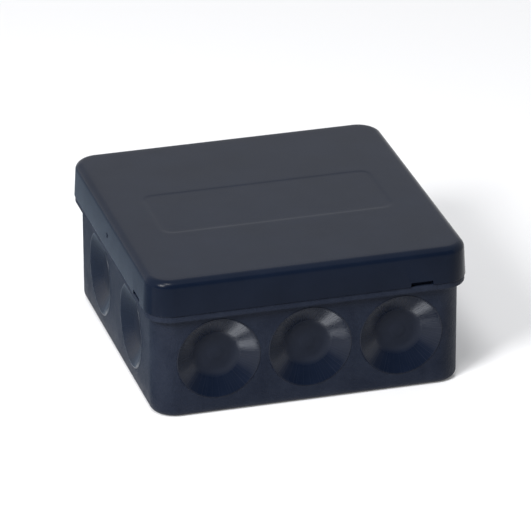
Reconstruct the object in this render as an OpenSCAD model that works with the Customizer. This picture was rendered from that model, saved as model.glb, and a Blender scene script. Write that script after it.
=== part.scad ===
// Square surface-mount junction box: an overlapping push-on lid on a base with ten
// soft cable-entry membranes, and a five-pole screw terminal block inside.
// Origin: middle of the base underside. +Z points from the wall to the lid, -Y is
// the long-row front face with three entries. All sizes are in millimetres.

/* [Box] */
// Overall width of the lid across X
body_w = 86; // [80:1:120]
// Overall depth of the lid across Y
body_d = 86; // [80:1:120]
// Overall height from wall face to lid top
body_h = 39; // [38:1:60]
// How far the base walls stand inside the lid edge
wall_inset = 1.8; // [1.4:0.1:3]
// Thickness of the base walls
wall_t = 2; // [1.6:0.1:3]
// Thickness of the base floor
floor_t = 2; // [1.6:0.1:3]
// Plan radius of the base corners
base_r = 6.6; // [5:0.1:9]
// Radius of the edge between base walls and floor
foot_r = 1.8; // [0.8:0.1:3]
// Height of the collar band the lid sits on
collar_h = 1.8; // [1.2:0.1:3]
// How far the collar stands inside the lid edge
collar_in = 0.25; // [0.1:0.05:0.6]
// Plan radius of the cavity corners
cav_r = 3; // [2:0.1:4]
// Gap between the base rim and the lid skirt round it
rim_gap = 0.4; // [0.3:0.05:0.6]
// How far the clip beads stand out from the rim
bead_out = 0.25; // [0.1:0.05:0.3]
// Length of each clip bead
bead_len = 50; // [20:1:60]
// Height of each clip bead
bead_h = 0.9; // [0.5:0.1:1.5]
// Drop from the top of the rim to the foot of the beads
bead_drop = 3; // [2:0.1:4]

/* [Lid] */
// Height of the lid, top face to skirt edge
lid_h = 9.5; // [8:0.1:14]
// Plan radius of the lid corners at the skirt edge
lid_r = 7; // [6:0.1:10]
// Draft of the skirt, as inward run over rise
lid_slope = 0.055; // [0.01:0.005:0.08]
// Radius of the rounded edge round the top face
lid_edge = 2.1; // [1:0.1:3]
// Thickness of the lid top
lid_t = 1.8; // [1.4:0.1:2.6]
// Thickness of the lid skirt at its lower edge
skirt_t = 2; // [1.6:0.1:2.6]
// Width of the shallow blank field on the lid top
field_w = 62; // [30:1:64]
// Depth of the same field across Y
field_d = 24; // [12:1:40]
// How deep the blank field is sunk
field_sink = 0.12; // [0.05:0.01:0.4]
// Corner radius of the blank field
field_r = 3; // [1:0.1:5]
// Place of the field's middle along Y
field_y = -1; // [-4:0.5:4]
// Distance of each pry slot from the middle of its side
pry_at = 29.5; // [20:0.5:31]
// Length of each pry slot
pry_len = 6; // [4:0.5:9]
// Height of each pry slot
pry_h = 1.3; // [0.8:0.1:1.6]
// Depth of each pry slot into the skirt
pry_deep = 1.2; // [0.6:0.1:1.4]
// Radius of the round gate mark on the left skirt
gate_r = 0.6; // [0.3:0.1:1]
// Depth of the gate mark
gate_sink = 0.2; // [0.1:0.05:0.4]
// Place of the gate mark along Y
gate_y = 1.5; // [-10:0.5:10]
// Height of the gate mark above the skirt edge
gate_up = 4.1; // [2:0.1:6]
// Thickness of the lid seal
gasket_t = 1.6; // [1:0.1:2.5]
// Gap between the locating rib and the base walls
rib_gap = 0.7; // [0.4:0.1:1]
// Thickness of the locating rib
rib_t = 1.2; // [0.8:0.1:2]
// Height of the locating rib below the lid top
rib_h = 3.2; // [2:0.1:4]
// Width of the cross ribs under the lid
cross_w = 1.2; // [0.8:0.1:2]
// Height of the cross ribs under the lid
cross_h = 1.6; // [0.8:0.1:2.5]

/* [Cable entries] */
// Radius of the window each membrane sits in
entry_r = 11.2; // [8:0.1:12]
// Height of the entry centres above the wall face
entry_z = 15.5; // [14:0.1:17]
// Pitch of the three entries on the front and back
entry_pitch = 24.4; // [24:0.1:26]
// Distance from the middle to each of the two side entries
side_at = 16.4; // [12.5:0.1:20]
// Depth of the dished cone
dish_depth = 3.2; // [2:0.1:4]
// Radius of the flat disc at the bottom of the dish
disc_r = 5; // [3:0.1:6]
// Radius of the raised middle of that disc
nub_r = 2; // [1:0.1:2.5]
// Height of the raised middle
nub_h = 0.3; // [0.1:0.05:0.6]
// Thickness of the soft skin
skin_t = 0.8; // [0.5:0.1:1.2]
// Width of the flat lip round the dish
lip_w = 0.5; // [0.3:0.1:1]
// How far the lip stands out from the wall
proud = 0.15; // [0.05:0.05:0.4]
// Reach of the holding flange behind the wall
flange_out = 0.6; // [0.3:0.1:0.8]
// Thickness of the holding flange
flange_t = 1; // [0.6:0.1:1.5]
// Width of the ring that joins skin and flange
ring_in = 0.5; // [0.3:0.1:0.8]
// Radial clearance between membrane and window
entry_fit = 0.02; // [0:0.01:0.05]

/* [Terminal block] */
// Number of poles
poles = 5; // [2:1:5]
// Pole pitch along X
pole_pitch = 8; // [7.6:0.1:8.6]
// Distance of each screw row from the middle
row_at = 6.5; // [6:0.1:7.5]
// How far a clamp cage rises from open to closed
clamp_travel = 3; // [1:0.1:3]
// Radius of the terminal screw shank
shank_r = 1.3; // [1:0.05:1.4]
// Radius of the terminal screw head
head_r = 2.3; // [1.9:0.05:2.4]
// Height of the terminal screw head
head_t = 1.8; // [1.2:0.1:2.2]
// Width of the driver slots
slot_w = 0.7; // [0.5:0.05:0.9]
// Depth of the driver slots
slot_deep = 0.9; // [0.6:0.1:1.1]
// Radial clearance of the screw thread in its clamp cage
thread_play = 0.04; // [0.02:0.01:0.1]
// Gap between a screw tip and the contact bar
tip_gap = 0.05; // [0.03:0.01:0.2]
// Width of a clamp cage
cage_w = 6; // [5.4:0.1:6.2]
// Depth of a clamp cage along the wire
cage_len = 5; // [4:0.1:5.4]
// Thickness of a cage floor
cage_floor_t = 0.9; // [0.7:0.1:1.2]
// Thickness of a cage top
cage_top_t = 1.4; // [1:0.1:1.8]
// Thickness of a cage side
cage_side_t = 0.8; // [0.6:0.05:0.9]
// Gap all round a cage in its pocket
cage_play = 0.15; // [0.1:0.05:0.25]
// Gap above and below a cage at the ends of its travel
end_play = 0.1; // [0.05:0.05:0.2]
// Wire space left when a cage is fully raised
mouth_spare = 0.2; // [0.1:0.05:0.5]
// Width of a contact bar
bar_w = 4; // [3:0.1:4.2]
// Thickness of a contact bar
bar_t = 1.2; // [0.8:0.1:1.6]
// Reach of a contact bar past each screw
bar_past = 3; // [2.6:0.1:3.5]
// Gap round a contact bar in its channel
bar_play = 0.05; // [0.02:0.01:0.1]
// Radius of each wire mouth
wire_r = 1.7; // [1.2:0.05:1.9]
// Reach of the housing past each screw row
house_past = 4.5; // [3.8:0.1:5]
// End wall added to each end of the housing
house_end = 1; // [0.5:0.1:2]
// Thickness of the shelf under the screw heads
shelf_t = 0.8; // [0.6:0.1:1.2]
// Radial clearance of a screw shank in the shelf
bore_play = 0.2; // [0.1:0.05:0.3]
// Radial clearance of a screw head in its pocket
head_play = 0.15; // [0.1:0.05:0.3]
// Gap between a screw head and the cover
head_gap = 0.05; // [0.03:0.01:0.15]
// Thickness of the cover
cover_t = 1.2; // [0.8:0.1:1.8]
// Radius of each driver hole in the cover
driver_r = 2; // [1.6:0.05:2.1]
// Width of the grooves between poles
groove_w = 0.8; // [0.5:0.1:1.2]
// Depth of the grooves between poles
groove_deep = 0.5; // [0.2:0.1:0.7]
// Thickness of the foot plate
foot_t = 1.2; // [0.8:0.1:1.8]
// Width of the pillars that hold the contact bars up
pillar_w = 3.6; // [2.5:0.1:3.8]
// Depth of those pillars
pillar_d = 5; // [3:0.1:6]

/* [Block fixing] */
// Height of the posts and rails above the base floor
post_h = 2; // [1:0.1:3]
// Radius of the posts
post_r = 3; // [2.4:0.1:4]
// Radius of the screw hole in a post
post_hole_r = 1.25; // [1:0.05:1.5]
// Height above the wall face at which that hole ends
post_hole_z = 0.8; // [0.6:0.1:1.2]
// Width of the rails under the block
rail_w = 2; // [1:0.1:3]
// How far the rails stop short of the block's sides
rail_short = 1; // [0:0.1:3]
// Reach of the fixing lugs past the housing ends
lug_out = 4; // [3.6:0.1:5]
// Radius of the fixing lugs
lug_r = 3.5; // [3:0.1:4]
// Radius of the hole in a lug
lug_hole_r = 1.7; // [1.4:0.05:2]
// Radius of a fixing screw shank
tap_r = 1.2; // [0.9:0.05:1.2]
// Height above the wall face of a fixing screw's tip
tap_tip_z = 1; // [0.9:0.1:2]
// Radius of a fixing screw head
fix_head_r = 2.8; // [2.2:0.1:3.2]
// Height of a fixing screw head
fix_head_t = 1.6; // [1:0.1:2]
// Length of the cross recess in a fixing screw head
recess_len = 3.2; // [2:0.1:4]

/* [Wall fixing] */
// Hole-to-hole distance across X
fix_x = 60; // [40:1:62]
// Hole-to-hole distance across Y
fix_y = 60; // [40:1:62]
// Radius of each fixing hole
fix_r = 2.25; // [1.6:0.05:2.75]
// Wall of the boss round each fixing hole
boss_wall = 2; // [1:0.1:3]
// Height of that boss above the floor
boss_h = 1; // [0.5:0.1:2]

/* [Hidden] */
$fn = 64;
// overlap of joined shapes and reach of cuts past a face
eps = 0.01;
past = 1;
base_w = body_w - 2 * wall_inset;
base_d = body_d - 2 * wall_inset;
lid_z = body_h - lid_h;
collar_z = lid_z - collar_h;
cav_w = base_w - 2 * wall_t;
cav_d = base_d - 2 * wall_t;
// rim of the base, inside the lid skirt
lid_cav_w = body_w - 2 * skirt_t;
lid_cav_d = body_d - 2 * skirt_t;
lid_cav_r = lid_r - skirt_t;
rim_w = lid_cav_w - 2 * rim_gap;
rim_d = lid_cav_d - 2 * rim_gap;
rim_r = lid_cav_r - rim_gap;
lid_under = body_h - lid_t;
rim_z = lid_under - gasket_t;
// locating rib under the lid, inside the rim
rib_w = cav_w - 2 * rib_gap;
rib_d = cav_d - 2 * rib_gap;
rib_r = cav_r - rib_gap;
// membranes
lip_r = entry_r - lip_w;
// terminal block, heights measured from the wall face
seat_z = floor_t + post_h;
body_z = seat_z + foot_t;
cage_z = body_z + end_play;
mouth = clamp_travel + mouth_spare;
bar_z = cage_z + cage_floor_t + mouth;
bar_len = 2 * (row_at + bar_past);
cage_h = cage_floor_t + mouth + bar_t + end_play + cage_top_t;
shelf_z = cage_z + cage_h + clamp_travel + end_play;
head_z = shelf_z + shelf_t;
house_top = head_z + head_t + head_gap;
house_w = poles * pole_pitch + 2 * house_end;
house_d = 2 * (row_at + house_past);
wire_z = bar_z - mouth / 2;
lug_x = house_w / 2 + lug_out;

// ---- shared shapes ----

module rounded_plan(w, d, r) {
    square([w - 2 * r, d], center = true);
    square([w, d - 2 * r], center = true);
    for (sx = [-1, 1], sy = [-1, 1])
        translate([sx * (w / 2 - r), sy * (d / 2 - r)]) circle(r);
}

module slab(w, d, h, r) {
    linear_extrude(h) rounded_plan(w, d, r);
}

// Half outline of a drafted wall with a rounded top edge.
module wall_outline(half, h, slope, edge) {
    zc = h - edge;
    xc = half - slope * zc - edge * sqrt(1 + slope * slope);
    tilt = atan(slope);
    polygon([[0, 0], [half, 0], [xc + edge * cos(tilt), zc + edge * sin(tilt)],
        [xc, zc], [xc, h], [0, h]]);
    translate([xc, zc]) circle(edge);
}

module both_ways(half, h, slope, edge) {
    wall_outline(half, h, slope, edge);
    mirror([1, 0]) wall_outline(half, h, slope, edge);
}

// Block with rounded plan corners, drafted sides and a rounded top edge.
module soft_block(w, d, h, r, slope, edge) {
    rotate([90, 0, 0])
        linear_extrude(d - 2 * r, center = true) both_ways(w / 2, h, slope, edge);
    rotate([90, 0, 90])
        linear_extrude(w - 2 * r, center = true) both_ways(d / 2, h, slope, edge);
    for (sx = [-1, 1], sy = [-1, 1])
        translate([sx * (w / 2 - r), sy * (d / 2 - r), 0])
            rotate_extrude() wall_outline(r, h, slope, edge);
}

// Places a shape drawn with +Z pointing out of the wall onto one wall.
// side: 0 front, 1 right, 2 back, 3 left; along: position along that wall.
module on_wall(side, along) {
    out = (side % 2 == 0) ? base_d / 2 : base_w / 2;
    rotate([0, 0, 90 * side])
        translate([along, -out, entry_z])
            rotate([90, 0, 0]) children();
}

module all_windows(r, depth) {
    for (along = [-entry_pitch, 0, entry_pitch], side = [0, 2])
        on_wall(side, along) translate([0, 0, -depth]) cylinder(r = r, h = depth + past);
    for (along = [-side_at, side_at], side = [1, 3])
        on_wall(side, along) translate([0, 0, -depth]) cylinder(r = r, h = depth + past);
}

function pole_x(i) = (i - (poles + 1) / 2) * pole_pitch;

// ---- base ----

module base_body() {
    translate([0, 0, collar_z + eps]) mirror([0, 0, 1])
        soft_block(base_w, base_d, collar_z + eps, base_r, 0, foot_r);
    translate([0, 0, collar_z])
        slab(body_w - 2 * collar_in, body_d - 2 * collar_in, collar_h, lid_r - collar_in);
    translate([0, 0, lid_z - eps]) slab(rim_w, rim_d, rim_z - lid_z + eps, rim_r);
}

module base_beads() {
    for (side = [0:3]) rotate([0, 0, 90 * side]) {
        half = (side % 2 == 0) ? rim_d / 2 : rim_w / 2;
        translate([-bead_len / 2, -half - bead_out, rim_z - bead_drop])
            cube([bead_len, bead_out + wall_t / 2, bead_h]);
    }
}

module floor_bosses() {
    for (sx = [-1, 1], sy = [-1, 1])
        translate([sx * fix_x / 2, sy * fix_y / 2, floor_t - eps])
            cylinder(r = fix_r + boss_wall, h = boss_h + eps);
    for (sx = [-1, 1])
        translate([sx * lug_x, 0, floor_t - eps]) cylinder(r = post_r, h = post_h + eps);
    for (sx = [-1, 1])
        translate([sx * house_w / 4 - rail_w / 2, -house_d / 2 + rail_short, floor_t - eps])
            cube([rail_w, house_d - 2 * rail_short, post_h + eps]);
}

module base_shell() {
    color([0.05, 0.06, 0.08]) difference() {
        union() {
            difference() {
                base_body();
                translate([0, 0, floor_t]) slab(cav_w, cav_d, rim_z, cav_r);
            }
            base_beads();
            floor_bosses();
        }
        all_windows(entry_r, wall_t + past);
        for (sx = [-1, 1], sy = [-1, 1])
            translate([sx * fix_x / 2, sy * fix_y / 2, -past])
                cylinder(r = fix_r, h = floor_t + boss_h + 2 * past);
        for (sx = [-1, 1])
            translate([sx * lug_x, 0, post_hole_z]) cylinder(r = post_hole_r, h = seat_z);
    }
}

// ---- lid ----

module lid_ribs() {
    difference() {
        translate([0, 0, lid_under - rib_h]) slab(rib_w, rib_d, rib_h + eps, rib_r);
        translate([0, 0, lid_under - rib_h - past])
            slab(rib_w - 2 * rib_t, rib_d - 2 * rib_t, rib_h + 2 * past, rib_r - rib_t);
    }
    // cross ribs end inside the thickness of the locating rib
    for (s = [-1, 1]) {
        translate([-rib_w / 2 + rib_t / 2, s * rib_d / 6 - cross_w / 2, lid_under - cross_h])
            cube([rib_w - rib_t, cross_w, cross_h + eps]);
        translate([s * rib_w / 6 - cross_w / 2, -rib_d / 2 + rib_t / 2, lid_under - cross_h])
            cube([cross_w, rib_d - rib_t, cross_h + eps]);
    }
}

module pry_cuts() {
    for (side = [0:3]) rotate([0, 0, 90 * side]) {
        half = (side % 2 == 0) ? body_d / 2 : body_w / 2;
        translate([pry_at - pry_len / 2, -half - past, lid_z - past])
            cube([pry_len, pry_deep + past, pry_h + past]);
    }
}

module lid() {
    color([0.06, 0.07, 0.09]) {
        difference() {
            translate([0, 0, lid_z]) soft_block(body_w, body_d, lid_h, lid_r, lid_slope, lid_edge);
            translate([0, 0, lid_z - past])
                slab(lid_cav_w, lid_cav_d, lid_h - lid_t + past, lid_cav_r);
            translate([0, field_y, body_h - field_sink]) slab(field_w, field_d, past, field_r);
            pry_cuts();
            translate([-body_w / 2 + lid_slope * gate_up - past, gate_y, lid_z + gate_up])
                rotate([0, 90, 0]) cylinder(r = gate_r, h = past + gate_sink);
        }
        lid_ribs();
    }
}

module lid_gasket() {
    color([0.12, 0.12, 0.13]) translate([0, 0, rim_z]) difference() {
        slab(lid_cav_w, lid_cav_d, gasket_t, lid_cav_r);
        translate([0, 0, -past]) slab(rib_w, rib_d, gasket_t + 2 * past, rib_r);
    }
}

// ---- membranes ----

module membrane() {
    run = lip_r - disc_r;
    drop = dish_depth;
    // vertical thickness of the sloping skin
    skin_v = skin_t * sqrt(1 + (drop / run) * (drop / run));
    pocket_r = lip_r - ring_in;
    color([0.04, 0.05, 0.06]) rotate_extrude() polygon([
        [0, nub_h - drop],
        [nub_r, nub_h - drop],
        [nub_r, -drop],
        [disc_r, -drop],
        [lip_r, proud],
        [entry_r - entry_fit, proud],
        [entry_r - entry_fit, -wall_t],
        [entry_r + flange_out, -wall_t],
        [entry_r + flange_out, -wall_t - flange_t],
        [pocket_r, -wall_t - flange_t],
        [pocket_r, -ring_in * drop / run - skin_v],
        [lip_r - (drop + skin_t - skin_v) * run / drop, -drop - skin_t],
        [0, -drop - skin_t]]);
}

module entry_front_left() { on_wall(0, -entry_pitch) membrane(); }
module entry_front_middle() { on_wall(0, 0) membrane(); }
module entry_front_right() { on_wall(0, entry_pitch) membrane(); }
module entry_back_left() { on_wall(2, entry_pitch) membrane(); }
module entry_back_middle() { on_wall(2, 0) membrane(); }
module entry_back_right() { on_wall(2, -entry_pitch) membrane(); }
module entry_left_front() { on_wall(3, side_at) membrane(); }
module entry_left_back() { on_wall(3, -side_at) membrane(); }
module entry_right_front() { on_wall(1, -side_at) membrane(); }
module entry_right_back() { on_wall(1, side_at) membrane(); }

// ---- terminal block ----

module terminal_foot() {
    color([0.8, 0.8, 0.76]) difference() {
        union() {
            translate([-house_w / 2, -house_d / 2, seat_z]) cube([house_w, house_d, foot_t]);
            translate([-lug_x, -lug_r, seat_z]) cube([2 * lug_x, 2 * lug_r, foot_t]);
            for (sx = [-1, 1]) translate([sx * lug_x, 0, seat_z]) cylinder(r = lug_r, h = foot_t);
            // pillars that hold each contact bar up in the housing
            for (i = [1:poles]) translate([pole_x(i) - pillar_w / 2, -pillar_d / 2, seat_z])
                cube([pillar_w, pillar_d, bar_z - seat_z]);
        }
        for (sx = [-1, 1])
            translate([sx * lug_x, 0, seat_z - past]) cylinder(r = lug_hole_r, h = foot_t + 2 * past);
    }
}

module terminal_housing() {
    color([0.86, 0.86, 0.82]) difference() {
        translate([-house_w / 2, -house_d / 2, body_z]) cube([house_w, house_d, house_top - body_z]);
        for (i = [1:poles]) {
            for (s = [-1, 1]) translate([pole_x(i), s * row_at, 0]) {
                translate([-cage_w / 2 - cage_play, -cage_len / 2 - cage_play, body_z - past])
                    cube([cage_w + 2 * cage_play, cage_len + 2 * cage_play, shelf_z - body_z + past]);
                translate([0, 0, shelf_z - past]) cylinder(r = shank_r + bore_play, h = shelf_t + 2 * past);
                translate([0, 0, head_z]) cylinder(r = head_r + head_play, h = head_t + past);
                translate([0, 0, wire_z]) rotate([-90 * s, 0, 0]) cylinder(r = wire_r, h = house_d);
            }
            translate([pole_x(i) - bar_w / 2 - bar_play, -bar_len / 2 - bar_play, body_z - past])
                cube([bar_w + 2 * bar_play, bar_len + 2 * bar_play, bar_z + bar_t - body_z + past]);
        }
    }
}

module terminal_cover() {
    color([0.86, 0.86, 0.82]) difference() {
        translate([-house_w / 2, -house_d / 2, house_top]) cube([house_w, house_d, cover_t]);
        for (i = [1:poles], s = [-1, 1])
            translate([pole_x(i), s * row_at, house_top - past])
                cylinder(r = driver_r, h = cover_t + 2 * past);
        for (i = [1:poles - 1])
            translate([pole_x(i) + pole_pitch / 2 - groove_w / 2, -house_d / 2 - past,
                house_top + cover_t - groove_deep])
                cube([groove_w, house_d + 2 * past, groove_deep + past]);
    }
}

module terminal_fixing_screws() {
    color([0.75, 0.75, 0.78]) for (sx = [-1, 1]) translate([sx * lug_x, 0, 0]) {
        difference() {
            translate([0, 0, body_z]) cylinder(r = fix_head_r, h = fix_head_t);
            for (a = [0, 90]) rotate([0, 0, a])
                translate([-recess_len / 2, -slot_w / 2, body_z + fix_head_t - slot_deep])
                    cube([recess_len, slot_w, slot_deep + past]);
        }
        translate([0, 0, tap_tip_z]) cylinder(r = tap_r, h = body_z - tap_tip_z + eps);
    }
}

module contact_bar(i) {
    color([0.8, 0.65, 0.3])
        translate([pole_x(i) - bar_w / 2, -bar_len / 2, bar_z]) cube([bar_w, bar_len, bar_t]);
}

module clamp_screw(i, s) {
    tip_z = bar_z + bar_t + tip_gap;
    color([0.75, 0.75, 0.78]) translate([pole_x(i), s * row_at, 0]) {
        translate([0, 0, tip_z]) cylinder(r = shank_r, h = head_z - tip_z + eps);
        difference() {
            translate([0, 0, head_z]) cylinder(r = head_r, h = head_t);
            translate([-head_r - past, -slot_w / 2, head_z + head_t - slot_deep])
                cube([2 * (head_r + past), slot_w, slot_deep + past]);
        }
    }
}

module clamp_cage(i, s) {
    color([0.7, 0.7, 0.72]) translate([pole_x(i), s * row_at, cage_z]) difference() {
        translate([-cage_w / 2, -cage_len / 2, 0]) cube([cage_w, cage_len, cage_h]);
        translate([-cage_w / 2 + cage_side_t, -cage_len / 2 - past, cage_floor_t])
            cube([cage_w - 2 * cage_side_t, cage_len + 2 * past, cage_h - cage_floor_t - cage_top_t]);
        translate([0, 0, cage_h - cage_top_t - past])
            cylinder(r = shank_r + thread_play, h = cage_top_t + 2 * past);
    }
}

module contact_bar_1() { contact_bar(1); }
module contact_bar_2() { contact_bar(2); }
module contact_bar_3() { contact_bar(3); }
module contact_bar_4() { contact_bar(4); }
module contact_bar_5() { contact_bar(5); }
module screw_front_1() { clamp_screw(1, -1); }
module screw_front_2() { clamp_screw(2, -1); }
module screw_front_3() { clamp_screw(3, -1); }
module screw_front_4() { clamp_screw(4, -1); }
module screw_front_5() { clamp_screw(5, -1); }
module screw_back_1() { clamp_screw(1, 1); }
module screw_back_2() { clamp_screw(2, 1); }
module screw_back_3() { clamp_screw(3, 1); }
module screw_back_4() { clamp_screw(4, 1); }
module screw_back_5() { clamp_screw(5, 1); }
module cage_front_1() { clamp_cage(1, -1); }
module cage_front_2() { clamp_cage(2, -1); }
module cage_front_3() { clamp_cage(3, -1); }
module cage_front_4() { clamp_cage(4, -1); }
module cage_front_5() { clamp_cage(5, -1); }
module cage_back_1() { clamp_cage(1, 1); }
module cage_back_2() { clamp_cage(2, 1); }
module cage_back_3() { clamp_cage(3, 1); }
module cage_back_4() { clamp_cage(4, 1); }
module cage_back_5() { clamp_cage(5, 1); }

base_shell();
lid();
lid_gasket();
entry_front_left();
entry_front_middle();
entry_front_right();
entry_back_left();
entry_back_middle();
entry_back_right();
entry_left_front();
entry_left_back();
entry_right_front();
entry_right_back();
terminal_foot();
terminal_housing();
terminal_cover();
terminal_fixing_screws();
contact_bar_1();
contact_bar_2();
contact_bar_3();
contact_bar_4();
contact_bar_5();
screw_front_1();
screw_front_2();
screw_front_3();
screw_front_4();
screw_front_5();
screw_back_1();
screw_back_2();
screw_back_3();
screw_back_4();
screw_back_5();
cage_front_1();
cage_front_2();
cage_front_3();
cage_front_4();
cage_front_5();
cage_back_1();
cage_back_2();
cage_back_3();
cage_back_4();
cage_back_5();
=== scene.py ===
import math

import bmesh
import bpy
from mathutils import Matrix, Vector


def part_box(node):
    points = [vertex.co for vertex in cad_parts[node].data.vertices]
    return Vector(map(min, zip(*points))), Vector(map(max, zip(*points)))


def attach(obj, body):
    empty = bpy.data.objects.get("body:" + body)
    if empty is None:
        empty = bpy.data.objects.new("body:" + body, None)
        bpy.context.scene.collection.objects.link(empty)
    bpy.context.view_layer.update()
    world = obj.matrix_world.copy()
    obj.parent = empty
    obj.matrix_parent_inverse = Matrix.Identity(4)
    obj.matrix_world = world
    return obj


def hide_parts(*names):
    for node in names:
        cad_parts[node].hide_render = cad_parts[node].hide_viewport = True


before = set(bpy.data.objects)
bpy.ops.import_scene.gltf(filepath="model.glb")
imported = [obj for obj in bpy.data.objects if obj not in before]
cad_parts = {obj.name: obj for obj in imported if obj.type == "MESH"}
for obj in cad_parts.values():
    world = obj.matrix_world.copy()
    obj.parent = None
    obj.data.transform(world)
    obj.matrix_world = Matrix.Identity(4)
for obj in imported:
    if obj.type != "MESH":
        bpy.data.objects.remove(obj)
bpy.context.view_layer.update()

MM = 0.001
scene = bpy.context.scene
scene.view_settings.view_transform = "Standard"

# ---- sizes in millimetres, those of the frame first ----
LID_LO, LID_HI = (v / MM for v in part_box("lid"))
BODY_W = LID_HI.x - LID_LO.x
BODY_D = LID_HI.y - LID_LO.y
LID_Z = LID_LO.z
TOP_Z = LID_HI.z
BASE_LO, BASE_HI = (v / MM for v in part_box("base_shell"))
COLLAR_W = BASE_HI.x - BASE_LO.x
RIM_Z = BASE_HI.z

# lid
LID_R = 7.0
LID_SLOPE = 0.055
LID_EDGE = 2.1
LID_T = 1.8
UNDER_Z = TOP_Z - LID_T
SKIRT_T = 2.0
LIP_R = 0.22
LIP_CLEAR = 0.003
INNER_R = 0.8
TOP_GUARD = 4.0
FIELD_W, FIELD_D, FIELD_R, FIELD_Y = 62.0, 24.0, 3.0, -1.0
# out from the field's edge and down from the top, for each loop round the blank field
FIELD_STEPS = ((1.4, 0.0), (0.5, 0.0), (0.2, 0.012), (-0.1, 0.045), (-0.4, 0.06), (-1.2, 0.06))
PRY_AT, PRY_LEN, PRY_H, PRY_DEEP, PRY_SOFT = 29.5, 6.0, 1.3, 1.2, 0.3
GATE_Y, GATE_UP, GATE_IN, PIP_IN = 1.5, 4.1, 0.45, 0.47
GATE_PROFILE = ((0, 0.0), (0.45, 0.03), (0.72, 0.14), (0.85, 0.4), (0.85, 2.0), (0, 2.0))
PIP_PROFILE = ((0, 0.42), (0.16, 0.4), (0.26, 0.3), (0.32, -0.1), (0, -0.1))
RIB_CLEAR, RIB_DEEP, RIB_T, RIB_SOFT, RIB_ROOT = 0.7, 3.2, 1.2, 0.3, 0.2
STIFF_T, STIFF_DEEP, STIFF_END, STIFF_ROOT, STIFF_SOFT = 1.2, 1.6, 0.5, 0.3, 0.15

# base
WALL_INSET = 1.8
WALL_T = 2.0
FLOOR_T = 2.0
BASE_R = 6.6
FOOT_R = 1.8
COLLAR_H = 1.8
COLLAR_UNDER_R, COLLAR_SOFT, COLLAR_EDGE = 0.25, 0.35, 0.15
CAV_R = 3.0
RIM_GAP = 0.4
RIM_SOFT = 0.35
FLOOR_FILLET = 0.9
BASE_W = BODY_W - 2 * WALL_INSET
BASE_D = BODY_D - 2 * WALL_INSET
CAV_W = BASE_W - 2 * WALL_T
CAV_D = BASE_D - 2 * WALL_T
RIM_W = BODY_W - 2 * SKIRT_T - 2 * RIM_GAP
RIM_D = BODY_D - 2 * SKIRT_T - 2 * RIM_GAP
RIM_R = LID_R - SKIRT_T - RIM_GAP
BEAD_LEN, BEAD_OUT, BEAD_IN, BEAD_SOFT = 50.0, 0.25, 0.6, 0.2
BEAD_LOW, BEAD_HIGH = 3.0, 2.1
FIX = 60.0
FIX_R = 2.25
BOSS_T, BOSS_H, BOSS_SOFT, BOSS_ROUND, BOSS_BORE_SOFT = 2.0, 1.0, 0.25, 0.08, 0.2
LUG_X = 25.0
POST_R, POST_BORE_R, POST_SOFT, POST_BORE_SOFT = 3.0, 1.25, 0.2, 0.1
SEAT_Z = 4.0
RAIL_X, RAIL_T, RAIL_LEN, RAIL_SOFT = 10.5, 2.0, 20.0, 0.15

# cable entries
ENTRY_R, ENTRY_Z, ENTRY_FIT = 11.2, 15.5, 0.02
ENTRY_PITCH, SIDE_ENTRY_AT = 24.4, 16.4

# terminal screws
POLES, POLE_PITCH, ROW_AT = 5, 8.0, 6.5
SCREW_TIP_Z, SCREW_HEAD_Z, SCREW_TOP_Z = 10.65, 16.0, 17.8
THREAD_R, THREAD_ROOT_R, THREAD_PITCH = 1.3, 1.02, 0.5
THREAD_END, THREAD_STOP, TIP_SOFT, NECK_ROOT = 0.5, 0.3, 0.2, 0.05
TIP_R, NECK_R, HEAD_R, HEAD_SOFT, HEAD_UNDER = 0.82, 1.1, 2.3, 0.35, 0.08
# length, width, depth and direction in degrees of each cut in a screw head
HEAD_CUT_SOFT = 0.08
HEAD_CUTS = ((6.0, 0.7, 0.9, 0), (2.6, 0.6, 1.1, 0), (2.6, 0.6, 1.1, 90))

# how far parts sink into what they stand on, and how far a cutter reaches past what it cuts
ROOT = 0.2
POST_ROOT = 0.1
PAST = 1.0
FAR_PAST = 2.0
ENTRY_PAST = 1.5

# how finely curves are divided, and angles in degrees
CORNER_STEPS = 14
SIDE_STEPS = 6
BAR_CORNER_STEPS = 3
ENTRY_SEGMENTS = 96
HOLE_SEGMENTS = 48
POST_SEGMENTS = 36
GATE_SEGMENTS = 32
PIP_SEGMENTS = 20
THREAD_SEGMENTS = 20
HEAD_SEGMENTS = 40
BEVEL_STEPS = 2
BEVEL_ANGLE = 50
SHARP_ANGLE = 35
MEMBRANE_SHARP = 30
SCREW_SHARP = 32
TINY = 1e-6
WELD = 1e-7
SMALLEST_R = 0.02

CORNERS = ((1, 1), (-1, 1), (-1, -1), (1, -1))


# ---- mesh helpers ----

def rounded_loop(w, d, r, z, cy=0.0):
    """Points round a rounded rectangle, always the same count and order."""
    r = max(r, SMALLEST_R)
    pts = []
    for k, (sx, sy) in enumerate(CORNERS):
        c = Vector((sx * (w / 2 - r), cy + sy * (d / 2 - r), z))
        for j in range(CORNER_STEPS + 1):
            a = math.radians(90 * k + 90 * j / CORNER_STEPS)
            pts.append(c + Vector((r * math.cos(a), r * math.sin(a), 0)))
        nx, ny = CORNERS[(k + 1) % 4]
        c2 = Vector((nx * (w / 2 - r), cy + ny * (d / 2 - r), z))
        a = math.radians(90 * (k + 1))
        off = Vector((r * math.cos(a), r * math.sin(a), 0))
        for j in range(1, SIDE_STEPS):
            t = j / SIDE_STEPS
            pts.append((c + off) * (1 - t) + (c2 + off) * t)
    return pts


def circle(r, z, count):
    """Points round a level circle."""
    angles = [2 * math.pi * i / count for i in range(count)]
    return [(r * math.cos(a), r * math.sin(a), z) for a in angles]


def arc(r, a0, a1, steps):
    """Points (across, up) on an arc about the origin, angles in degrees."""
    angles = [math.radians(a0 + (a1 - a0) * j / steps) for j in range(steps + 1)]
    return [(r * math.cos(a), r * math.sin(a)) for a in angles]


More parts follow.
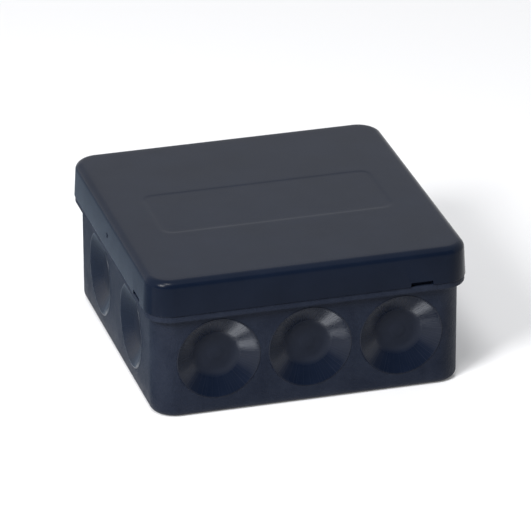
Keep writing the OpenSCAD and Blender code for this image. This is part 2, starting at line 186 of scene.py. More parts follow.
def bridge(bm, a, b):
    """Quads between two rings of the same length."""
    n = len(a)
    for i in range(n):
        j = (i + 1) % n
        bm.faces.new((a[i], a[j], b[j], b[i]))


def loft(bm, loops, closed=False):
    """Skins a list of equal-length loops, and either caps the ends or joins them."""
    rings = [[bm.verts.new(p) for p in loop] for loop in loops]
    for a, b in zip(rings, rings[1:]):
        bridge(bm, a, b)
    if closed:
        bridge(bm, rings[-1], rings[0])
    else:
        bm.faces.new(list(reversed(rings[0])))
        bm.faces.new(rings[-1])


def revolve(bm, profile, steps, closed=False):
    """Turns (radius, height) points round Z. A point on the axis becomes one vertex."""
    rings = []
    for r, z in profile:
        points = [(0, 0, z)] if r < TINY else circle(r, z, steps)
        rings.append([bm.verts.new(p) for p in points])
    pairs = list(zip(rings, rings[1:]))
    if closed:
        pairs.append((rings[-1], rings[0]))
    for a, b in pairs:
        if len(a) > 1 and len(b) > 1:
            bridge(bm, a, b)
            continue
        for i in range(steps):
            j = (i + 1) % steps
            if len(a) == 1:
                bm.faces.new((a[0], b[j], b[i]))
            else:
                bm.faces.new((a[i], a[j], b[0]))


def soft_bar(bm, lo, hi, edge):
    """A straight bar with rounded vertical edges and softened top and bottom."""
    w, d = hi[0] - lo[0], hi[1] - lo[1]
    c = Vector(((lo[0] + hi[0]) / 2, (lo[1] + hi[1]) / 2, 0))
    part = 0.3 * edge
    levels = ((edge, lo[2]), (part, lo[2] + part), (0, lo[2] + edge),
              (0, hi[2] - edge), (part, hi[2] - part), (edge, hi[2]))
    loops = []
    for inset, z in levels:
        pts = []
        r = max(edge * 1.2 - inset, SMALLEST_R)
        for k, (sx, sy) in enumerate(CORNERS):
            corner = c + Vector((sx * (w / 2 - inset - r), sy * (d / 2 - inset - r), z))
            for j in range(BAR_CORNER_STEPS + 1):
                a = math.radians(90 * k + 90 * j / BAR_CORNER_STEPS)
                pts.append(corner + Vector((r * math.cos(a), r * math.sin(a), 0)))
        loops.append(pts)
    loft(bm, loops)


def turn(bm, degrees, axis="Z"):
    matrix = Matrix.Rotation(math.radians(degrees), 3, axis)
    bmesh.ops.rotate(bm, cent=(0, 0, 0), matrix=matrix, verts=bm.verts)


def shift(bm, x, y, z):
    bmesh.ops.translate(bm, vec=(x, y, z), verts=bm.verts)


def to_metres(bm):
    bmesh.ops.scale(bm, vec=(MM, MM, MM), verts=bm.verts)
    bmesh.ops.recalc_face_normals(bm, faces=bm.faces)


def mark_sharp(bm, limit):
    """Smooth shading, broken at edges sharper than the limit in degrees."""
    for f in bm.faces:
        f.smooth = True
    for e in bm.edges:
        e.smooth = len(e.link_faces) == 2 and e.calc_face_angle(0.0) < math.radians(limit)


def add_bmesh(bm, other):
    """Moves the faces of other into bm."""
    part = bpy.data.meshes.new("part")
    other.to_mesh(part)
    other.free()
    bm.from_mesh(part)
    bpy.data.meshes.remove(part)


def link_object(name, mesh, place=None):
    obj = bpy.data.objects.new(name, mesh)
    scene.collection.objects.link(obj)
    if place is not None:
        obj.matrix_world = place
    return obj


def make_object(name, bm, material, sharp=SHARP_ANGLE, place=None):
    """Turns a millimetre bmesh into an object in metres."""
    to_metres(bm)
    mark_sharp(bm, sharp)
    mesh = bpy.data.meshes.new(name)
    bm.to_mesh(mesh)
    bm.free()
    mesh.materials.append(material)
    return link_object(name, mesh, place)


def cut(obj, cutters):
    """Cuts closed millimetre bmeshes out of obj and applies the result."""
    bm = bmesh.new()
    for c in cutters:
        add_bmesh(bm, c)
    to_metres(bm)
    mesh = bpy.data.meshes.new("cutter")
    bm.to_mesh(mesh)
    bm.free()
    tool = link_object("cutter", mesh)
    mod = obj.modifiers.new("cut", "BOOLEAN")
    mod.operation = "DIFFERENCE"
    mod.solver = "EXACT"
    mod.object = tool
    dg = bpy.context.evaluated_depsgraph_get()
    done = bpy.data.meshes.new_from_object(obj.evaluated_get(dg))
    obj.modifiers.clear()
    old = obj.data
    material = old.materials[0]
    obj.data = done
    bpy.data.meshes.remove(old)
    bpy.data.objects.remove(tool)
    bpy.data.meshes.remove(mesh)
    bm = bmesh.new()
    bm.from_mesh(done)
    bmesh.ops.remove_doubles(bm, verts=bm.verts, dist=WELD)
    mark_sharp(bm, SHARP_ANGLE)
    bm.to_mesh(done)
    bm.free()
    done.materials.clear()
    done.materials.append(material)
    return obj


# ---- materials ----

NOISE_LO, NOISE_HI = 0.3, 0.7


class Nodes:
    """A short way to write a node material."""

    def __init__(self, name):
        self.mat = bpy.data.materials.new(name)
        self.mat.use_nodes = True
        self.tree = self.mat.node_tree
        self.tree.nodes.clear()
        self.out = self.add("ShaderNodeOutputMaterial")
        self.bsdf = self.add("ShaderNodeBsdfPrincipled")
        self.link(self.bsdf, "BSDF", self.out, "Surface")

    def add(self, kind, **sets):
        n = self.tree.nodes.new(kind)
        for k, v in sets.items():
            if k.startswith("in_"):
                n.inputs[k[3:].replace("_", " ")].default_value = v
            else:
                setattr(n, k, v)
        return n

    def link(self, a, out, b, inp):
        self.tree.links.new(a.outputs[out], b.inputs[inp])

    def surface(self, **sets):
        """Sets the Principled shader's own sockets."""
        for k, v in sets.items():
            self.bsdf.inputs[k.replace("_", " ")].default_value = v

    def noise(self, scale, detail=3.0, rough=0.5, stretch=(1, 1, 1)):
        tex = self.add("ShaderNodeTexCoord")
        mapping = self.add("ShaderNodeMapping", in_Scale=stretch)
        self.link(tex, "Object", mapping, "Vector")
        n = self.add("ShaderNodeTexNoise", in_Scale=scale, in_Detail=detail, in_Roughness=rough)
        self.link(mapping, "Vector", n, "Vector")
        return n

    def ramp(self, source, socket, lo, hi, a, b):
        r = self.add("ShaderNodeMapRange", in_From_Min=lo, in_From_Max=hi, in_To_Min=a, in_To_Max=b)
        self.link(source, socket, r, "Value")
        return r

    def spread(self, noise, a, b):
        """The noise's usual range spread from a to b."""
        return self.ramp(noise, "Fac", NOISE_LO, NOISE_HI, a, b)

    def tint(self, noise, dark, light):
        """Colour between dark and light by the noise."""
        mix = self.add("ShaderNodeMix", data_type="RGBA")
        mix.inputs[6].default_value = (*dark, 1)
        mix.inputs[7].default_value = (*light, 1)
        self.link(self.spread(noise, 0.0, 1.0), "Result", mix, "Factor")
        self.tree.links.new(mix.outputs[2], self.bsdf.inputs["Base Color"])

    def bump(self, noise, strength, distance, onto=None):
        b = self.add("ShaderNodeBump", in_Strength=strength, in_Distance=distance)
        self.link(noise, "Fac", b, "Height")
        if onto is not None:
            self.link(onto, "Normal", b, "Normal")
        self.link(b, "Normal", self.bsdf, "Normal")
        return b

    def math(self, operation, a, a_socket, b, b_socket):
        m = self.add("ShaderNodeMath", operation=operation)
        self.link(a, a_socket, m, 0)
        self.link(b, b_socket, m, 1)
        return m


def plastic(name, dark, light, rough, grain, grain_depth, level, speckle=0.5):
    """Moulded plastic or rubber: mottled colour, patchy sheen, fine grain and a slow swell."""
    n = Nodes(name)
    n.tint(n.noise(scale=90.0, detail=6.0, rough=speckle), dark, light)
    sheen = n.spread(n.noise(scale=160.0, detail=4.0, rough=0.6), *rough)
    n.link(sheen, "Result", n.bsdf, "Roughness")
    n.surface(Specular_IOR_Level=level)
    fine = n.bump(n.noise(scale=grain, detail=2.0), 0.5, grain_depth)
    n.bump(n.noise(scale=120.0, detail=2.0), 0.12, 0.0002, fine)
    return n.mat


def membrane_material():
    """Soft entry disc: smooth, with faint flow lines round its own axis and a matt middle."""
    dark, light = (0.0040, 0.0075, 0.0180), (0.0060, 0.0100, 0.0225)
    polished, streaked, matt_more = 0.15, 0.33, 0.42
    matt_to, polished_from = 0.0050, 0.0066
    n = Nodes("entry_elastomer")
    n.tint(n.noise(scale=180.0), dark, light)
    tex = n.add("ShaderNodeTexCoord")
    sep = n.add("ShaderNodeSeparateXYZ")
    n.link(tex, "Object", sep, "Vector")
    angle = n.math("ARCTAN2", sep, "Y", sep, "X")
    round_axis = n.add("ShaderNodeCombineXYZ")
    n.link(angle, "Value", round_axis, "X")
    lines = n.add("ShaderNodeTexNoise", in_Scale=26.0, in_Detail=3.0, in_Roughness=0.6)
    n.link(round_axis, "Vector", lines, "Vector")
    flat = n.add("ShaderNodeCombineXYZ")
    n.link(sep, "X", flat, "X")
    n.link(sep, "Y", flat, "Y")
    radius = n.add("ShaderNodeVectorMath", operation="LENGTH")
    n.link(flat, "Vector", radius, 0)
    matt = n.ramp(radius, "Value", matt_to, polished_from, matt_more, 0.0)
    rough = n.math("ADD", n.spread(lines, polished, streaked), "Result", matt, "Result")
    n.link(rough, "Value", n.bsdf, "Roughness")
    n.surface(Specular_IOR_Level=0.30)
    flow = n.bump(lines, 0.10, 0.00002)
    n.bump(n.noise(scale=5200.0, detail=2.0), 0.2, 0.00002, flow)
    return n.mat


def metal(name, dark, light, rough, brush):
    """Bare metal with patchy colour and fine lines, closest along the axis that brush stretches."""
    n = Nodes(name)
    n.tint(n.noise(scale=300.0, detail=4.0, rough=0.6), dark, light)
    n.surface(Metallic=1.0)
    lines = n.noise(scale=900.0, detail=3.0, rough=0.6, stretch=brush)
    n.link(n.spread(lines, *rough), "Result", n.bsdf, "Roughness")
    n.bump(lines, 0.25, 0.00002)
    return n.mat


MAT_LID = plastic("lid_plastic", (0.0038, 0.0072, 0.0170), (0.0055, 0.0096, 0.0215),
                  rough=(0.22, 0.27), grain=2600.0, grain_depth=0.000012, level=0.085)
MAT_BASE = plastic("box_plastic", (0.0080, 0.0120, 0.0250), (0.0180, 0.0240, 0.0410),
                   rough=(0.44, 0.56), grain=2400.0, grain_depth=0.00045, level=0.12, speckle=0.85)
MAT_ENTRY = membrane_material()
MAT_SEAL = plastic("seal_rubber", (0.03, 0.03, 0.032), (0.05, 0.05, 0.052),
                   rough=(0.7, 0.85), grain=4000.0, grain_depth=0.00012, level=0.3)
MAT_BLOCK = plastic("terminal_plastic", (0.56, 0.555, 0.53), (0.62, 0.615, 0.59),
                    rough=(0.38, 0.5), grain=3000.0, grain_depth=0.00003, level=0.45)
MAT_ZINC = metal("zinc_steel", (0.52, 0.54, 0.58), (0.66, 0.67, 0.70), (0.24, 0.40), (1, 1, 6))
MAT_BRASS = metal("brass", (0.62, 0.44, 0.18), (0.74, 0.56, 0.27), (0.22, 0.36), (6, 1, 1))


# ---- lid ----

def inset_loop(w, d, r, inset, z):
    return rounded_loop(w - 2 * inset, d - 2 * inset, r - inset, z)


def lid_sections():
    """Inset and height of the lid's wall, from the inner top down, round the lip and up to the top."""
    tilt = math.degrees(math.atan(LID_SLOPE))
    edge_up = TOP_Z - LID_Z - LID_EDGE
    across = LID_SLOPE * edge_up + LID_EDGE * math.sqrt(1 + LID_SLOPE ** 2)
    pts = []
    for x, z in arc(INNER_R, 90, 0, 5):
        pts.append((SKIRT_T + INNER_R - x, UNDER_Z - INNER_R + z))
    for x, z in arc(LIP_R, 180, 270, 3):
        pts.append((SKIRT_T - LIP_R - x, LID_Z + LIP_R + z))
    for x, z in arc(LIP_R, 270, 360, 4):
        pts.append((LIP_R - x + LIP_CLEAR, LID_Z + LIP_R + z))
    for x, z in arc(LID_EDGE, tilt, 90, 12):
        pts.append((across - x, LID_Z + edge_up + z))
    return pts


def on_left_skirt(bm, inset):
    """Moves a shape whose +Z points out of the skirt to the gate mark's place."""
    turn(bm, -90, "Y")
    shift(bm, -BODY_W / 2 + inset, GATE_Y, LID_Z + GATE_UP)


def build_lid():
    bm = bmesh.new()
    loops = [inset_loop(BODY_W, BODY_D, LID_R, i, z) for i, z in lid_sections()]
    loops.append(inset_loop(BODY_W, BODY_D, LID_R, TOP_GUARD, TOP_Z))
    for grow, drop in FIELD_STEPS:
        w, d = FIELD_W + 2 * grow, FIELD_D + 2 * grow
        loops.append(rounded_loop(w, d, FIELD_R + grow, TOP_Z - drop, FIELD_Y))
    loft(bm, loops)
    obj = make_object("lid_moulding", bm, MAT_LID)
    cutters = []
    for side in range(4):
        half = (BODY_D if side % 2 == 0 else BODY_W) / 2
        slot = bmesh.new()
        lo = (PRY_AT - PRY_LEN / 2, -half - FAR_PAST, LID_Z - PAST)
        hi = (PRY_AT + PRY_LEN / 2, -half + PRY_DEEP, LID_Z + PRY_H)
        soft_bar(slot, lo, hi, PRY_SOFT)
        turn(slot, 90 * side)
        cutters.append(slot)
    gate = bmesh.new()
    revolve(gate, GATE_PROFILE, GATE_SEGMENTS)
    on_left_skirt(gate, GATE_IN)
    cutters.append(gate)
    return cut(obj, cutters)


def build_lid_inside():
    """Locating rib and stiffening ribs under the lid."""
    bm = bmesh.new()
    w, d, r = CAV_W - 2 * RIB_CLEAR, CAV_D - 2 * RIB_CLEAR, CAV_R - RIB_CLEAR
    root = UNDER_Z + RIB_ROOT
    low = UNDER_Z - RIB_DEEP
    steps = ((0, root), (0, low + RIB_SOFT), (RIB_SOFT, low),
             (RIB_T - RIB_SOFT, low), (RIB_T, low + RIB_SOFT), (RIB_T, root))
    loft(bm, [inset_loop(w, d, r, inset, z) for inset, z in steps], closed=True)
    x, y = w / 2 - STIFF_END, d / 2 - STIFF_END
    low, root, half = UNDER_Z - STIFF_DEEP, UNDER_Z + STIFF_ROOT, STIFF_T / 2
    for s in (-1, 1):
        at = s * d / 6
        soft_bar(bm, (-x, at - half, low), (x, at + half, root), STIFF_SOFT)
        at = s * w / 6
        soft_bar(bm, (at - half, -y, low), (at + half, y, root), STIFF_SOFT)
    return make_object("lid_ribs", bm, MAT_LID)


def build_gate_pip():
    """Small pip left in the gate dimple on the left skirt."""
    bm = bmesh.new()
    revolve(bm, PIP_PROFILE, PIP_SEGMENTS)
    on_left_skirt(bm, PIP_IN)
    return make_object("lid_gate_pip", bm, MAT_LID)


lid = build_lid()
lid_ribs = build_lid_inside()
gate_pip = build_gate_pip()
for piece in (lid, lid_ribs, gate_pip):
    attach(piece, "lid")
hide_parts("lid")


# ---- places of the cable entries ----

def entry_places():
    """Each entry's side (0 front, 1 right, 2 back, 3 left) and its place along that side."""
    places = {}
    for side, row, way in ((0, "front", 1), (2, "back", -1)):
        for word, k in (("left", -1), ("middle", 0), ("right", 1)):
            places[f"entry_{row}_{word}"] = (side, way * k * ENTRY_PITCH)
    for side, row, way in ((3, "left", 1), (1, "right", -1)):
        places[f"entry_{row}_front"] = (side, way * SIDE_ENTRY_AT)
        places[f"entry_{row}_back"] = (side, -way * SIDE_ENTRY_AT)
    return places


ENTRIES = entry_places()


def wall_matrix(side, along):
    """From a shape whose +Z points out of the wall to its place, in millimetres."""
    half = (BASE_D if side % 2 == 0 else BASE_W) / 2
    return (Matrix.Rotation(math.radians(90 * side), 4, "Z")
            @ Matrix.Translation((along, -half, ENTRY_Z))
            @ Matrix.Rotation(math.radians(90), 4, "X"))


# ---- base ----

def base_sections():
    """Inset, height and corner radius, from under the floor up the outside and down the inside."""
    out = WALL_INSET
    collar = (BODY_W - COLLAR_W) / 2
    rim = (BODY_W - RIM_W) / 2
    cavity = (BODY_W - CAV_W) / 2
    collar_z = LID_Z - COLLAR_H
    collar_r = LID_R - collar
    pts = []
    r = FOOT_R
    for x, z in arc(r, 270, 360, 8):
        pts.append((out + r - x, r + z, BASE_R - r + x))
    r = COLLAR_UNDER_R
    for x, z in arc(r, 180, 90, 3):
        pts.append((out - r - x, collar_z - r + z, BASE_R + r + x))
    r = COLLAR_SOFT
    for x, z in arc(r, 270, 360, 4):
        pts.append((collar + r - x, collar_z + r + z, collar_r - r + x))
    r = COLLAR_EDGE
    for x, z in arc(r, 0, 90, 2):
        pts.append((collar + r - x, LID_Z - r + z, collar_r - r + x))
    pts.append((rim, LID_Z, RIM_R))
    r = RIM_SOFT
    for x, z in arc(r, 0, 90, 4):
        pts.append((rim + r - x, RIM_Z - r + z, RIM_R - r + x))
    for x, z in arc(r, 90, 180, 4):
        pts.append((cavity - r - x, RIM_Z - r + z, CAV_R + r + x))
    r = FLOOR_FILLET
    for x, z in arc(r, 180, 270, 5):
        pts.append((cavity + r + x, FLOOR_T + r + z, CAV_R - r - x))
    return pts


def window_cutters():
    low, high = -WALL_T - ENTRY_PAST, ENTRY_PAST
    out = []
    for side, along in ENTRIES.values():
        c = bmesh.new()
        revolve(c, [(0, low), (ENTRY_R, low), (ENTRY_R, high), (0, high)], ENTRY_SEGMENTS)
        bmesh.ops.transform(c, matrix=wall_matrix(side, along), verts=c.verts)
        out.append(c)
    return out


def at_fixings():
    """The four fixing holes' places, as signs of X and Y."""
    return [(sx, sy) for sx in (-1, 1) for sy in (-1, 1)]


def build_base():
    bm = bmesh.new()
    loops = [rounded_loop(BODY_W - 2 * i, BODY_D - 2 * i, r, z) for i, z, r in base_sections()]
    loft(bm, loops)
    obj = make_object("base_moulding", bm, MAT_BASE)
    cutters = window_cutters()
    high = FLOOR_T + FAR_PAST
    for sx, sy in at_fixings():
        c = bmesh.new()
        revolve(c, [(0, -PAST), (FIX_R, -PAST), (FIX_R, high), (0, high)], HOLE_SEGMENTS)
        shift(c, sx * FIX / 2, sy * FIX / 2, 0)
        cutters.append(c)
    return cut(obj, cutters)


def boss_bmesh():
    """Ring round a fixing hole."""
    r0, r1, z0, z1 = FIX_R, FIX_R + BOSS_T, FLOOR_T - ROOT, FLOOR_T + BOSS_H
    profile = [(r0, z0), (r1, z0), (r1, z1 - BOSS_SOFT), (r1 - BOSS_ROUND, z1 - BOSS_ROUND),
               (r1 - BOSS_SOFT, z1), (r0 + BOSS_BORE_SOFT, z1), (r0, z1 - BOSS_BORE_SOFT)]
    bm = bmesh.new()
    revolve(bm, profile, HOLE_SEGMENTS, closed=True)
    return bm


def post_bmesh():
    """Post that a lug of the terminal block is screwed to."""
    r0, r1, z0 = POST_BORE_R, POST_R, FLOOR_T - POST_ROOT
    profile = [(r0, z0), (r1, z0), (r1, SEAT_Z - POST_SOFT), (r1 - POST_SOFT, SEAT_Z),
               (r0 + POST_BORE_SOFT, SEAT_Z), (r0, SEAT_Z - POST_BORE_SOFT)]
    bm = bmesh.new()
    revolve(bm, profile, POST_SEGMENTS, closed=True)
    return bm


def build_base_inside():
    """Clip beads, floor bosses, block posts and rails."""
    bm = bmesh.new()
    for side in range(4):
        half = (RIM_D if side % 2 == 0 else RIM_W) / 2
        b = bmesh.new()
        lo = (-BEAD_LEN / 2, -half - BEAD_OUT, RIM_Z - BEAD_LOW)
        hi = (BEAD_LEN / 2, -half + BEAD_IN, RIM_Z - BEAD_HIGH)
        soft_bar(b, lo, hi, BEAD_SOFT)
        turn(b, 90 * side)
        add_bmesh(bm, b)
    for sx, sy in at_fixings():
        b = boss_bmesh()
        shift(b, sx * FIX / 2, sy * FIX / 2, 0)
        add_bmesh(bm, b)
    for sx in (-1, 1):
        b = post_bmesh()
        shift(b, sx * LUG_X, 0, 0)
        add_bmesh(bm, b)
        x = sx * RAIL_X
        lo = (x - RAIL_T / 2, -RAIL_LEN / 2, FLOOR_T - ROOT)
        hi = (x + RAIL_T / 2, RAIL_LEN / 2, SEAT_Z)
        soft_bar(bm, lo, hi, RAIL_SOFT)
    return make_object("base_details", bm, MAT_BASE)


base = build_base()
base_details = build_base_inside()
for piece in (base, base_details):
    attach(piece, "base")
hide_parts("base_shell")


# ---- cable-entry membranes ----

def membrane_profile():
    """Radius and height: blended disc, sloping wall, rolled lip, flange and back of the skin."""
    lip, disc, drop, skin, proud = ENTRY_R - 0.5, 5.0, 3.2, 0.8, 0.08
    nub, nub_r, blend = 0.12, 2.0, 1.1
    roll_in, roll, roll_bend, roll_lift, roll_under = 0.9, 1.1, 0.5, 0.39, 0.02
    outer = ENTRY_R - ENTRY_FIT
    slope = drop / (lip - disc)
    steps, nub_steps = 6, 5
    pts = [(0, nub - drop)]
    for k in range(1, steps + 1):
        # from 5/8 to 10/8 of the raised middle's radius
        fall = 0.5 + 0.5 * math.cos(math.pi * (k - 1) / nub_steps)
        pts.append((nub_r * (0.5 + k / 8), -drop + nub * fall))
    for k in range(steps + 1):
        t = k / steps
        pts.append((disc + blend * (2 * t - 1), -drop + slope * blend * t * t))
    for k in range(1, steps):
        r = disc + blend + (lip - roll_in - disc - blend) * k / steps
        pts.append((r, -drop + slope * (r - disc)))
    for k in range(steps + 1):
        t = k / steps
        rise = slope * (roll * t - roll_in - roll_bend * roll * t * t + roll_lift * t * t)
        pts.append((lip - roll_in + roll * t, rise + (proud - roll_under) * t * t))
    # edge of the lip
    edge, edge_side, edge_down = 0.1, 0.02, 0.04
    pts += [(outer - edge, proud), (outer - edge_side, proud - edge_down),
            (outer, 0.0), (outer, -WALL_T)]
    # flange behind the wall
    flange_r, back, soft = ENTRY_R + 0.6, -WALL_T - 1.0, 0.15
    inner, inner_soft = 0.5, 0.1
    pts += [(flange_r, -WALL_T), (flange_r, back + soft), (flange_r - soft, back),
            (lip - inner + inner_soft, back), (lip - inner, back + soft)]
    # back of the skin
    skin_up = skin * math.sqrt(1 + slope * slope)
    bend_out, bend_up = 0.35, 0.12
    pts += [(lip - inner, -inner * slope - skin_up), (disc + bend_out, -drop - skin + bend_up),
            (disc, -drop - skin), (0, -drop - skin)]
    return pts


entry_mesh = None
for name, (side, along) in ENTRIES.items():
    m = wall_matrix(side, along)
    place = Matrix.Translation(m.translation * MM) @ m.to_3x3().to_4x4()
    if entry_mesh is None:
        bm = bmesh.new()
        revolve(bm, membrane_profile(), ENTRY_SEGMENTS)
        obj = make_object(name + "_membrane", bm, MAT_ENTRY, MEMBRANE_SHARP, place)
        entry_mesh = obj.data
    else:
        obj = link_object(name + "_membrane", entry_mesh, place)
    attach(obj, "base")
    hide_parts(name)


# ---- terminal screws with a real thread ----

def thread_rows():
    """Rows of a helix, four to a turn: root, crest, crest, root."""
    start, end = SCREW_TIP_Z + THREAD_END, SCREW_HEAD_Z - THREAD_STOP
    turns = int((SCREW_HEAD_Z - THREAD_END - start) / THREAD_PITCH)
    radii = (THREAD_ROOT_R, THREAD_R, THREAD_R, THREAD_ROOT_R)
    rows = []
    for k in range(turns * 4 + 1):
        row = []
        for i, (x, y, _) in enumerate(circle(radii[k % 4], 0, THREAD_SEGMENTS)):
            z = start + (k * 0.25 + i / THREAD_SEGMENTS) * THREAD_PITCH
            row.append((x, y, min(max(z, start), end)))
        rows.append(row)
    return rows


def shank_bmesh():
    bm = bmesh.new()
    tip = [circle(TIP_R, SCREW_TIP_Z, THREAD_SEGMENTS),
           circle(THREAD_ROOT_R, SCREW_TIP_Z + TIP_SOFT, THREAD_SEGMENTS)]
    neck = [circle(NECK_R, SCREW_HEAD_Z + NECK_ROOT, THREAD_SEGMENTS)]
    loft(bm, tip + thread_rows() + neck)
    return bm


def head_bmesh():
    r, low, high, soft = HEAD_R, SCREW_HEAD_Z, SCREW_TOP_Z, HEAD_SOFT
    part = soft * 0.3
    bm = bmesh.new()
    profile = [(0, low), (r - HEAD_UNDER, low), (r, low + HEAD_UNDER), (r, high - soft),
               (r - part, high - part), (r - soft, high), (0, high)]
    revolve(bm, profile, HEAD_SEGMENTS)
    return bm


def build_screw_mesh():
    """One mesh for all the terminal screws: threaded shank and head with slot and cross."""
    head = make_object("screw_head_work", head_bmesh(), MAT_ZINC)
    for length, width, depth, degrees in HEAD_CUTS:
        c = bmesh.new()
        lo = (-length / 2, -width / 2, SCREW_TOP_Z - depth)
        hi = (length / 2, width / 2, SCREW_TOP_Z + PAST)
        soft_bar(c, lo, hi, HEAD_CUT_SOFT)
        turn(c, degrees)
        cut(head, [c])
    bm = bmesh.new()
    add_bmesh(bm, shank_bmesh())
    to_metres(bm)
    bm.from_mesh(head.data)
    mark_sharp(bm, SCREW_SHARP)
    mesh = bpy.data.meshes.new("terminal_screw")
    bm.to_mesh(mesh)
    bm.free()
    mesh.materials.append(MAT_ZINC)
    old = head.data
    bpy.data.objects.remove(head)
    bpy.data.meshes.remove(old)
    return mesh


screw_mesh = build_screw_mesh()
for row, s in (("front", -1), ("back", 1)):
    for i in range(1, POLES + 1):
        node = f"screw_{row}_{i}"
        # each head stands at its own angle
        twist = Matrix.Rotation(math.radians((37 * i + 61 * (s + 1)) % 180), 4, "Z")
        x = (i - (POLES + 1) / 2) * POLE_PITCH * MM
        place = Matrix.Translation((x, s * ROW_AT * MM, 0)) @ twist
        obj = link_object(node + "_threaded", screw_mesh, place)
        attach(obj, node)
        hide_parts(node)


# ---- carried-over CAD nodes ----

def finish_node(name, material, bevel):
    """Own material and softened edges, bevel in millimetres."""
    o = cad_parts[name]
    o.data.materials.clear()
    o.data.materials.append(material)
    b = o.modifiers.new("edge", "BEVEL")
    b.width = bevel * MM
    b.segments = BEVEL_STEPS
    b.limit_method = "ANGLE"
    b.angle_limit = math.radians(BEVEL_ANGLE)
    b.harden_normals = False


for name in ("terminal_foot", "terminal_housing", "terminal_cover"):
    finish_node(name, MAT_BLOCK, 0.12)
finish_node("terminal_fixing_screws", MAT_ZINC, 0.08)
finish_node("lid_gasket", MAT_SEAL, 0.15)
for i in range(1, POLES + 1):
    finish_node(f"contact_bar_{i}", MAT_BRASS, 0.06)
    for row in ("front", "back"):
        finish_node(f"cage_{row}_{i}", MAT_ZINC, 0.08)


# ---- camera and lamps, in metres and degrees ----

CAM_AZ, CAM_EL, CAM_ROLL, CAM_DIST = -15.704, 25.164, -0.233, 1.2826
AIM = Vector((-0.00028, 0.0, 0.01999))
LENS, SENSOR = 329.4, 36.0
CLIP_START, CLIP_END = 0.05, 20.0
LAMP_AIM = Vector((0, 0, 0.02))
# name, azimuth, elevation, distance, size, power
LAMPS = (("key_softbox", -52, 39, 0.75, 0.22, 5.4),
         ("overhead_softbox", -30, 66, 0.9, 0.24, 3.6))


def look(azimuth, elevation):
    """Direction from the object: azimuth 0 is the front, 90 the right side."""
    a, e = math.radians(azimuth), math.radians(elevation)
    return Vector((math.sin(a) * math.cos(e), -math.cos(a) * math.cos(e), math.sin(e)))


def build_camera():
    data = bpy.data.cameras.new("camera")
    data.lens = LENS
    data.sensor_width = SENSOR
    data.clip_start = CLIP_START
    data.clip_end = CLIP_END
    cam = link_object("camera", data)
    scene.camera = cam
    back = look(CAM_AZ, CAM_EL)
    aimed = (-back).to_track_quat("-Z", "Y").to_matrix().to_4x4()
    roll = Matrix.Rotation(math.radians(CAM_ROLL), 4, "Z")
    cam.rotation_mode = "QUATERNION"
    cam.location = AIM + back * CAM_DIST
    cam.rotation_quaternion = (aimed @ roll).to_quaternion()


def build_lamp(name, azimuth, elevation, distance, size, power):
    data = bpy.data.lights.new(name, "AREA")
    data.energy = power
    data.size = size
    o = link_object(name, data)
    d = look(azimuth, elevation)
    o.location = LAMP_AIM + d * distance
    o.rotation_mode = "QUATERNION"
    o.rotation_quaternion = (-d).to_track_quat("-Z", "Y")


build_camera()
for lamp in LAMPS:
    build_lamp(*lamp)


# ---- world, floor and backdrop, in millimetres ----

WORLD_TINT, WORLD_LIGHT, WORLD_SEEN = (0.95, 0.97, 1.0, 1), 0.45, 1.0
FLOOR_HALF, FLOOR_GRID, FLOOR_DROP = 2500.0, 40, 0.02
FLOOR_COLOUR, FLOOR_ROUGH, FLOOR_LEVEL = (0.82, 0.82, 0.83, 1), 0.16, 0.5
FLOOR_GLOW = (0.14, 0.14, 0.14, 1)
WALL_RADIUS, WALL_LOW, WALL_HIGH, WALL_STEPS = 2200.0, 60.0, 2600.0, 24
WALL_FROM, WALL_SPAN = -75, 135
WALL_COLOUR, WALL_ROUGH = (0.05, 0.05, 0.055, 1), 0.9
CARD_Z = 0.3
# the grey card is no lamp: its glow is a painted reflection, darker and bluer, on the object's left
# side
GREY_X, GREY_Y, PAINTED_REFLECTION_GLOW = (-420.0, -43.5), (-36.0, 420.0), (0.40, 0.48, 0.58, 1)
STRIP_X, STRIP_Y = (-64.0, 64.0), (-60.0, -43.5)
STRIP_COLOUR, STRIP_ROUGH = (0.29, 0.30, 0.32, 1), 0.12


def see_white(tree, shader_hidden, shader_seen, out):
    """Camera, glossy and transmission rays meet the second shader, all others the first."""
    path = tree.nodes.new("ShaderNodeLightPath")
    first = tree.nodes.new("ShaderNodeMath")
    second = tree.nodes.new("ShaderNodeMath")
    mix = tree.nodes.new("ShaderNodeMixShader")
    for node in (first, second):
        node.operation = "MAXIMUM"
    tree.links.new(path.outputs["Is Camera Ray"], first.inputs[0])
    tree.links.new(path.outputs["Is Glossy Ray"], first.inputs[1])
    tree.links.new(first.outputs[0], second.inputs[0])
    tree.links.new(path.outputs["Is Transmission Ray"], second.inputs[1])
    tree.links.new(second.outputs[0], mix.inputs["Fac"])
    tree.links.new(shader_hidden.outputs[0], mix.inputs[1])
    tree.links.new(shader_seen.outputs[0], mix.inputs[2])
    tree.links.new(mix.outputs[0], out.inputs["Surface"])


def build_world():
    """Dim plain light on the object, with white seen behind it and in it."""
    world = bpy.data.worlds.new("studio")
    scene.world = world
    world.use_nodes = True
    tree = world.node_tree
    tree.nodes.clear()
    out = tree.nodes.new("ShaderNodeOutputWorld")
    shaders = []
    for colour, strength in ((WORLD_TINT, WORLD_LIGHT), ((1, 1, 1, 1), WORLD_SEEN)):
        shader = tree.nodes.new("ShaderNodeBackground")
        shader.inputs["Color"].default_value = colour
        shader.inputs["Strength"].default_value = strength
        shaders.append(shader)
    see_white(tree, *shaders, out)


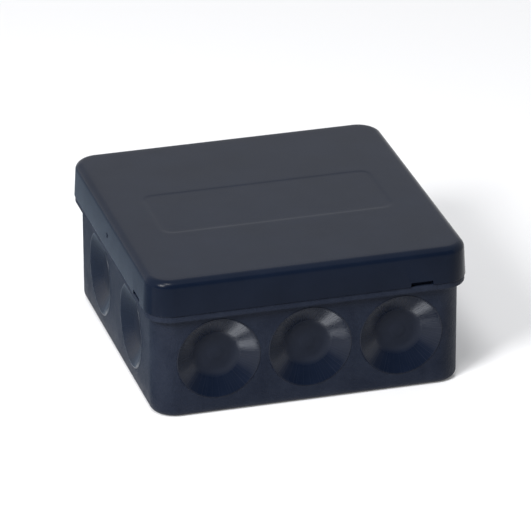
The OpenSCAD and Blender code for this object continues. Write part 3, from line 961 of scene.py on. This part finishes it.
def build_floor():
    """Pale floor that keeps the object's shadow, lifted towards white where it is seen."""
    bm = bmesh.new()
    bmesh.ops.create_grid(bm, x_segments=FLOOR_GRID, y_segments=FLOOR_GRID, size=FLOOR_HALF)
    shift(bm, 0, 0, -FLOOR_DROP)
    n = Nodes("studio_floor")
    n.surface(Base_Color=FLOOR_COLOUR, Roughness=FLOOR_ROUGH, Specular_IOR_Level=FLOOR_LEVEL)
    glow = n.add("ShaderNodeEmission", in_Color=FLOOR_GLOW, in_Strength=1.0)
    lit = n.add("ShaderNodeAddShader")
    n.link(n.bsdf, "BSDF", lit, 0)
    n.link(glow, "Emission", lit, 1)
    see_white(n.tree, n.bsdf, lit, n.out)
    make_object("studio_floor", bm, n.mat)


def build_dark_wall():
    """Unlit side of the room behind the camera, which keeps the near faces dark."""
    bm = bmesh.new()
    rows = []
    for z in (WALL_LOW, WALL_HIGH):
        row = []
        for i in range(WALL_STEPS + 1):
            d = look(WALL_FROM + WALL_SPAN * i / WALL_STEPS, 0) * WALL_RADIUS
            row.append(bm.verts.new((d.x, d.y, z)))
        rows.append(row)
    low, high = rows
    for i in range(WALL_STEPS):
        bm.faces.new((low[i], low[i + 1], high[i + 1], high[i]))
    n = Nodes("studio_dark_wall")
    n.surface(Base_Color=WALL_COLOUR, Roughness=WALL_ROUGH)
    wall = make_object("studio_dark_wall", bm, n.mat)
    wall.visible_camera = False


def build_card(name, x_range, y_range, **surface_sets):
    """Flat card on the floor that only glossy rays from above meet."""
    bm = bmesh.new()
    (x0, x1), (y0, y1) = x_range, y_range
    corners = ((x0, y0), (x1, y0), (x1, y1), (x0, y1))
    bm.faces.new([bm.verts.new((x, y, CARD_Z)) for x, y in corners])
    n = Nodes(name)
    n.surface(**surface_sets)
    side = n.add("ShaderNodeNewGeometry")
    clear = n.add("ShaderNodeBsdfTransparent")
    mix = n.add("ShaderNodeMixShader")
    n.link(side, "Backfacing", mix, "Fac")
    n.link(n.bsdf, "BSDF", mix, 1)
    n.link(clear, "BSDF", mix, 2)
    n.link(mix, "Shader", n.out, "Surface")
    card = make_object(name, bm, n.mat)
    if card.data.polygons[0].normal.z < 0:
        card.data.flip_normals()
    card.visible_camera = False
    card.visible_diffuse = False
    card.visible_transmission = False
    card.visible_shadow = False


build_world()
build_floor()
build_dark_wall()
# the grey card glows a set bluish grey that only reflections meet, a painted reflection that darkens
# and cools the left side, and the polished strip lights the front dishes
build_card("studio_painted_reflection_card", GREY_X, GREY_Y, Base_Color=(0, 0, 0, 1), Specular_IOR_Level=0.0,
           Emission_Color=PAINTED_REFLECTION_GLOW, Emission_Strength=1.0)
build_card("studio_polished_strip", STRIP_X, STRIP_Y, Base_Color=STRIP_COLOUR, Metallic=1.0,
           Roughness=STRIP_ROUGH)
